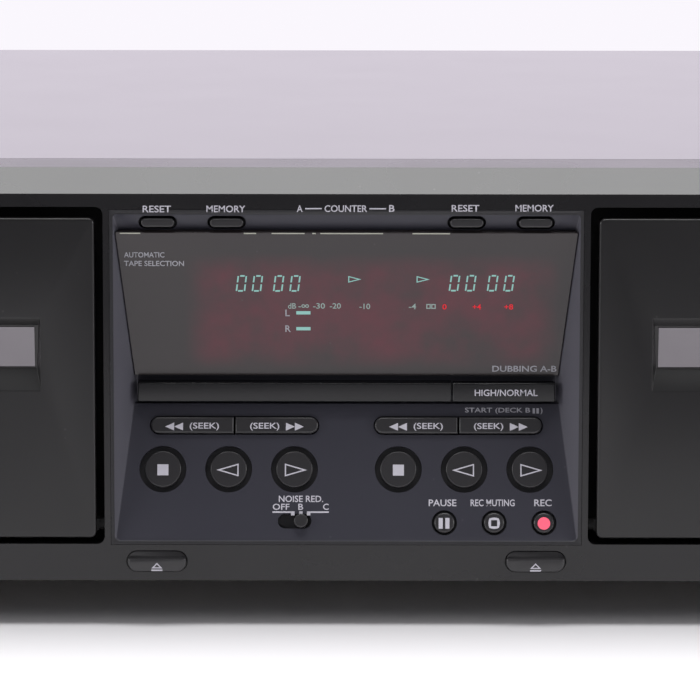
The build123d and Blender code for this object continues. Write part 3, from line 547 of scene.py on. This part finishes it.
bm = bmesh.new()
word(bm, CONTROL_SLOPE, "START (DECK B", (39.6, 34.42), (17.1, 1.67))
for x in (49.1, 50.1):
    strip(bm, CONTROL_SLOPE, (x, 34.42), (0.62, 1.4))
word(bm, CONTROL_SLOPE, ")", (51.1, 34.42), (0.5, 1.75))
printed("start_print", bm, "case", dim_ink)

bm = bmesh.new()
word(bm, WINDOW_SLOPE, "AUTOMATIC", (-52.40, -6.34), (10.46, 1.5))
word(bm, WINDOW_SLOPE, "TAPE SELECTION", (-49.90, -8.79), (15.54, 1.5))
word(bm, WINDOW_SLOPE, "DUBBING A-B", (46.55, -39.0), (16.80, 1.75))
word(bm, WINDOW_SLOPE, "L", (-15.37, -22.92), (1.15, 1.9))
word(bm, WINDOW_SLOPE, "R", (-15.26, -27.45), (1.4, 1.9))
printed("window_print", bm, "case", dim_ink)

bm = bmesh.new()
word(bm, BAR_FACE, "HIGH/NORMAL", (41.74, 60.25), (16.42, 1.73), 2 * INK_LIFT)
printed("dubbing_print", bm, "dubbing_button", ink)

EJECT_FACE = face_frame(-1.6, 0, 0)
for deck, side in DECKS.items():
    bm = bmesh.new()
    triangle_outline(bm, EJECT_FACE @ Matrix.Rotation(math.radians(90), 4, "Z"),
                     (16.3, -side * 49.4), (1.5, 2.9), 1, 0.3)
    strip(bm, EJECT_FACE, (side * 49.4, 15.05), (2.9, 0.4))
    printed(f"eject_mark_{deck}", bm, f"eject_button_{deck}", ink)

# ---------------------------------------------------------------- lit display
# The fluorescent display's segments, seen through the smoked sheet: two counters, tape
# arrows and a level scale. They are drawn on the sheet's face as thin glowing shapes.
display_cyan = plain_material("display_cyan", (0.33, 0.62, 0.58), 0.5, glow=0.85)
display_pale = plain_material("display_pale", (0.40, 0.50, 0.48), 0.5, glow=0.7)
display_red = plain_material("display_red", (0.60, 0.025, 0.035), 0.5, glow=1.3)
DIGIT_HALF = 1.04          # stroke middle from the digit's middle, in mm
DIGIT_SLANT = 0.121
STROKES = [((-DIGIT_HALF, 1.19), (0.40, 1.80)), ((DIGIT_HALF, 1.19), (0.40, 1.80)),
           ((-DIGIT_HALF, -1.22), (0.40, 1.90)), ((DIGIT_HALF, -1.22), (0.40, 1.90)),
           ((0.03, 2.13), (1.15, 0.46)), ((0, -2.15), (1.25, 0.46))]


def digit(bm, x, up):
    for (across, rise), (wide, tall) in STROKES:
        points = []
        for dx, dy in ((-1, -1), (1, -1), (1, 1), (-1, 1)):
            high = rise + dy * tall / 2
            points.append((x + across + dx * wide / 2 + DIGIT_SLANT * high, up + high))
        patch(bm, WINDOW_SLOPE, points)


bm = bmesh.new()
for x in (-27.31, -23.16, -17.64, -13.39):
    digit(bm, x, -14.45)
for x in (28.0, 32.2, 37.9, 42.15):
    digit(bm, x, -14.3)
for x in (2.12, 19.85):
    triangle_outline(bm, WINDOW_SLOPE, (x, -13.25), (3.4, 1.9), 1, 0.26)
for up in (-22.88, -27.46):
    strip(bm, WINDOW_SLOPE, (-11.25, up), (3.7, 0.95))
printed("display_segments", bm, "case", display_cyan)

bm = bmesh.new()
for text, x, up, wide in (("dB", -14.19, -20.90, 2.1), ("-\u221e", -11.15, -20.94, 2.75),
                          ("-30", -7.17, -20.89, 3.1), ("-20", -2.93, -20.88, 2.9),
                          ("-10", 4.73, -21.0, 2.8), ("-4", 17.14, -21.0, 1.9)):
    word(bm, WINDOW_SLOPE, text, (x, up), (wide, 1.0 if "\u221e" in text else 1.6))
for x in (21.3, 22.6):
    box = [(x - 0.58, -21.7), (x + 0.58, -21.7), (x + 0.58, -20.3), (x - 0.58, -20.3)]
    hole = [(x - 0.3, -21.4), (x + 0.3, -21.4), (x + 0.3, -20.6), (x - 0.3, -20.6)]
    ring(bm, WINDOW_SLOPE, box, hole)
printed("display_scale", bm, "case", display_pale)

bm = bmesh.new()
for text, x, wide in (("0", 25.47, 1.1), ("+4", 33.87, 2.2), ("+8", 42.16, 2.3)):
    word(bm, WINDOW_SLOPE, text, (x, -21.1), (wide, 1.55))
printed("display_red_scale", bm, "case", display_red)

# Pale strips stand for the light that the sheet's upper edge catches.
edge_light = plain_material("edge_light", (0.52, 0.53, 0.44), 0.4)
bm = bmesh.new()
for x0, x1 in ((-58.6, -53.3), (-26.6, -23.4), (-19.4, -10.9), (-8.9, -8.0), (-6.8, 9.4), (17.0, 26.7)):
    strip(bm, WINDOW_SLOPE, ((x0 + x1) / 2, -0.22), (x1 - x0, 0.3))
printed("window_edge_light", bm, "case", edge_light)

# ---------------------------------------------------------------- marks on the caps
# Symbols printed on the faces of the caps: stop, reverse, play, winding arrows, pause,
# muting ring and a red recording dot.
# The red dot's ink is given a faint painted glow, which brightens it though it is no lamp.
rec_red_glowing = plain_material("rec_red_glowing", (0.85, 0.12, 0.19), 0.4)
rec_red_glowing.node_tree.nodes["Principled BSDF"].inputs["Emission Strength"].default_value = 0.45
CAP_FACE = {"pill": 1.2, "transport": 0.2, "record": 0.4}  # caps stand off the slope, in mm
TRANSPORT_UP, PILL_UP = 18.7, 30.0      # rows of caps, up the control slope
PILL_MIDDLE = 29.3                      # where a pair of winding keys meets


def cap_lift(kind):
    return CAP_FACE[kind] + INK_LIFT


for deck, side in DECKS.items():
    stop_x, reverse_x, play_x = sorted(side * x for x in (13.6, 30.8, 48.0))
    bm = bmesh.new()
    strip(bm, CONTROL_SLOPE, (stop_x, TRANSPORT_UP), (2.9, 2.9), cap_lift("transport"))
    printed(f"stop_mark_{deck}", bm, f"stop_button_{deck}", ink)
    for name, x, way in (("reverse", reverse_x - 0.3, -1), ("play", play_x + 0.4, 1)):
        bm = bmesh.new()
        triangle_outline(bm, CONTROL_SLOPE, (x, TRANSPORT_UP), (5.8, 3.4), way, 0.32,
                         cap_lift("transport"))
        printed(f"{name}_mark_{deck}", bm, f"{name}_button_{deck}", ink)
    for name, way in (("rewind", -1), ("forward", 1)):
        bm = bmesh.new()
        for step in (-1, 1):
            x = side * PILL_MIDDLE + way * 15.8 + step * 1.17
            patch(bm, CONTROL_SLOPE, triangle((x, PILL_UP), (2.35, 2.1), way), cap_lift("pill"))
        word(bm, CONTROL_SLOPE, "(SEEK)", (side * PILL_MIDDLE + way * 7.9, PILL_UP), (7.7, 2.1),
             cap_lift("pill"))
        printed(f"{name}_mark_{deck}", bm, f"{name}_button_{deck}", ink)

bm = bmesh.new()
for x in (24.65, 26.40):
    strip(bm, CONTROL_SLOPE, (x, 4.7), (1.08, 2.85), cap_lift("record"))
printed("pause_mark", bm, "pause_button", ink)
bm = bmesh.new()
outer, inner = [], []
for step in range(16):
    turn = math.radians(22.5 * step)
    reach = 1.5 / max(abs(math.cos(turn)), abs(math.sin(turn))) ** 0.45
    outer.append((38.6 + reach * math.cos(turn), 4.75 + reach * math.sin(turn)))
    square = 0.8 / max(abs(math.cos(turn)), abs(math.sin(turn)))
    inner.append((38.6 + square * math.cos(turn), 4.75 + square * math.sin(turn)))
ring(bm, CONTROL_SLOPE, outer, inner, cap_lift("record"))
printed("muting_mark", bm, "rec_muting_button", ink)
bm = bmesh.new()
patch(bm, CONTROL_SLOPE, [(51.6 + 1.65 * math.cos(math.radians(15 * step)),
                           4.7 + 1.65 * math.sin(math.radians(15 * step))) for step in range(24)],
      cap_lift("record"))
printed("rec_mark", bm, "rec_button", rec_red_glowing)

# ---------------------------------------------------------------- doors
# Satin black lids on tilting cassette holders, each with a long window in a groove. The
# window's finish is opaque. The holders turn on pins in the wells' walls.
door_plastic = surface("door_plastic", (0.012, 0.0115, 0.012), (0.10, 0.095, 0.095), film=0.05,
                       specks=0.25, rough=0.32, uneven=0.06, grains=2600, depth=0.006)
door_glass = surface("door_glass", (0.175, 0.164, 0.176), (0.4, 0.4, 0.4), film=0.15, specks=0.2,
                     rough=0.16, uneven=0.08, grains=500, depth=0.002, metallic=0.9)
holder_black = surface("holder_black", (0.006, 0.006, 0.006), (0.03, 0.03, 0.03), rough=0.7)
for deck in DECKS:
    door = f"door_{deck}"
    moulded(f"door_cover_{deck}", door, door_plastic, 0.12 * MM, angle=30)
    moulded(f"door_window_{deck}", door, door_glass, 0.1 * MM)
    dress([f"cassette_holder_{deck}"], holder_black)

# ---------------------------------------------------------------- tape mechanisms
# Blackened steel plates with turned flywheels, white acetal reel drives and a rubber belt.
turned_steel = surface("turned_steel", (0.55, 0.53, 0.48), (0.5, 0.48, 0.44), film=0.15,
                       specks=0.1, rough=0.25, uneven=0.1, grains=1500, depth=0.003, metallic=1.0)
white_acetal = surface("white_acetal", (0.72, 0.71, 0.66), (0.5, 0.48, 0.45), film=0.15,
                       specks=0.1, rough=0.4)
black_steel = surface("black_steel", (0.006, 0.006, 0.006), (0.03, 0.03, 0.03), rough=0.7)
belt_rubber = surface("belt_rubber", (0.02, 0.02, 0.02), (0.1, 0.1, 0.1), rough=0.7)
head_metal = surface("head_metal", (0.6, 0.6, 0.6), (0.45, 0.44, 0.42), film=0.1, specks=0.1,
                     rough=0.3, metallic=1.0)
for deck in DECKS:
    dress([f"mechanism_frame_{deck}"], black_steel)
    dress([f"left_flywheel_{deck}", f"right_flywheel_{deck}"], turned_steel)
    dress([f"left_spindle_{deck}", f"right_spindle_{deck}", f"motor_pulley_{deck}"], white_acetal)
    dress([f"head_carriage_{deck}"], head_metal)
dress(["capstan_motors"], turned_steel)
dress(["drive_belts"], belt_rubber)

# ---------------------------------------------------------------- case
# Zinc-plated pan, painted rear panel, rubber feet and blackened screws.
zinc_plate = surface("zinc_plate", (0.42, 0.41, 0.37), (0.5, 0.48, 0.42), film=0.2, specks=0.1,
                     rough=0.38, uneven=0.15, grains=700, depth=0.004, metallic=1.0)
rear_paint = surface("rear_paint", (0.025, 0.025, 0.026), (0.14, 0.135, 0.13), rough=0.5)
foot_rubber = surface("foot_rubber", (0.018, 0.018, 0.019), (0.12, 0.12, 0.12), film=0.15,
                      rough=0.65, depth=0.02)
screw_black = surface("screw_black", (0.03, 0.03, 0.03), (0.12, 0.12, 0.12), rough=0.35,
                      metallic=0.6)
dress(["chassis_pan"], zinc_plate)
dress(["rear_panel"], rear_paint)
dress(["feet"], foot_rubber)
dress(["case_screws"], screw_black)

# ---------------------------------------------------------------- sockets, knob, gland
# Nickel-plated phono and headphone sockets, a rubber gland for the mains lead in the rear
# panel and a moulded level knob on the front.
nickel = surface("nickel", (0.62, 0.6, 0.56), (0.4, 0.4, 0.38), film=0.1, rough=0.2, metallic=1.0)
dress(["rca_jacks", "phones_jack"], nickel)
dress(["cord_gland"], foot_rubber)
moulded("rec_level_knob", "rec_level_knob", button_black, 0.1 * MM)

# ---------------------------------------------------------------- electronics
# The main circuit board on its posts and the mains transformer, both in the steel pan.
board_brown = surface("board_brown", (0.22, 0.14, 0.05), (0.3, 0.26, 0.2), film=0.2, rough=0.5)
varnished_iron = surface("varnished_iron", (0.08, 0.08, 0.085), (0.2, 0.19, 0.17), film=0.2,
                         rough=0.45, metallic=0.6)
dress(["main_board"], board_brown)
dress(["power_transformer"], varnished_iron)
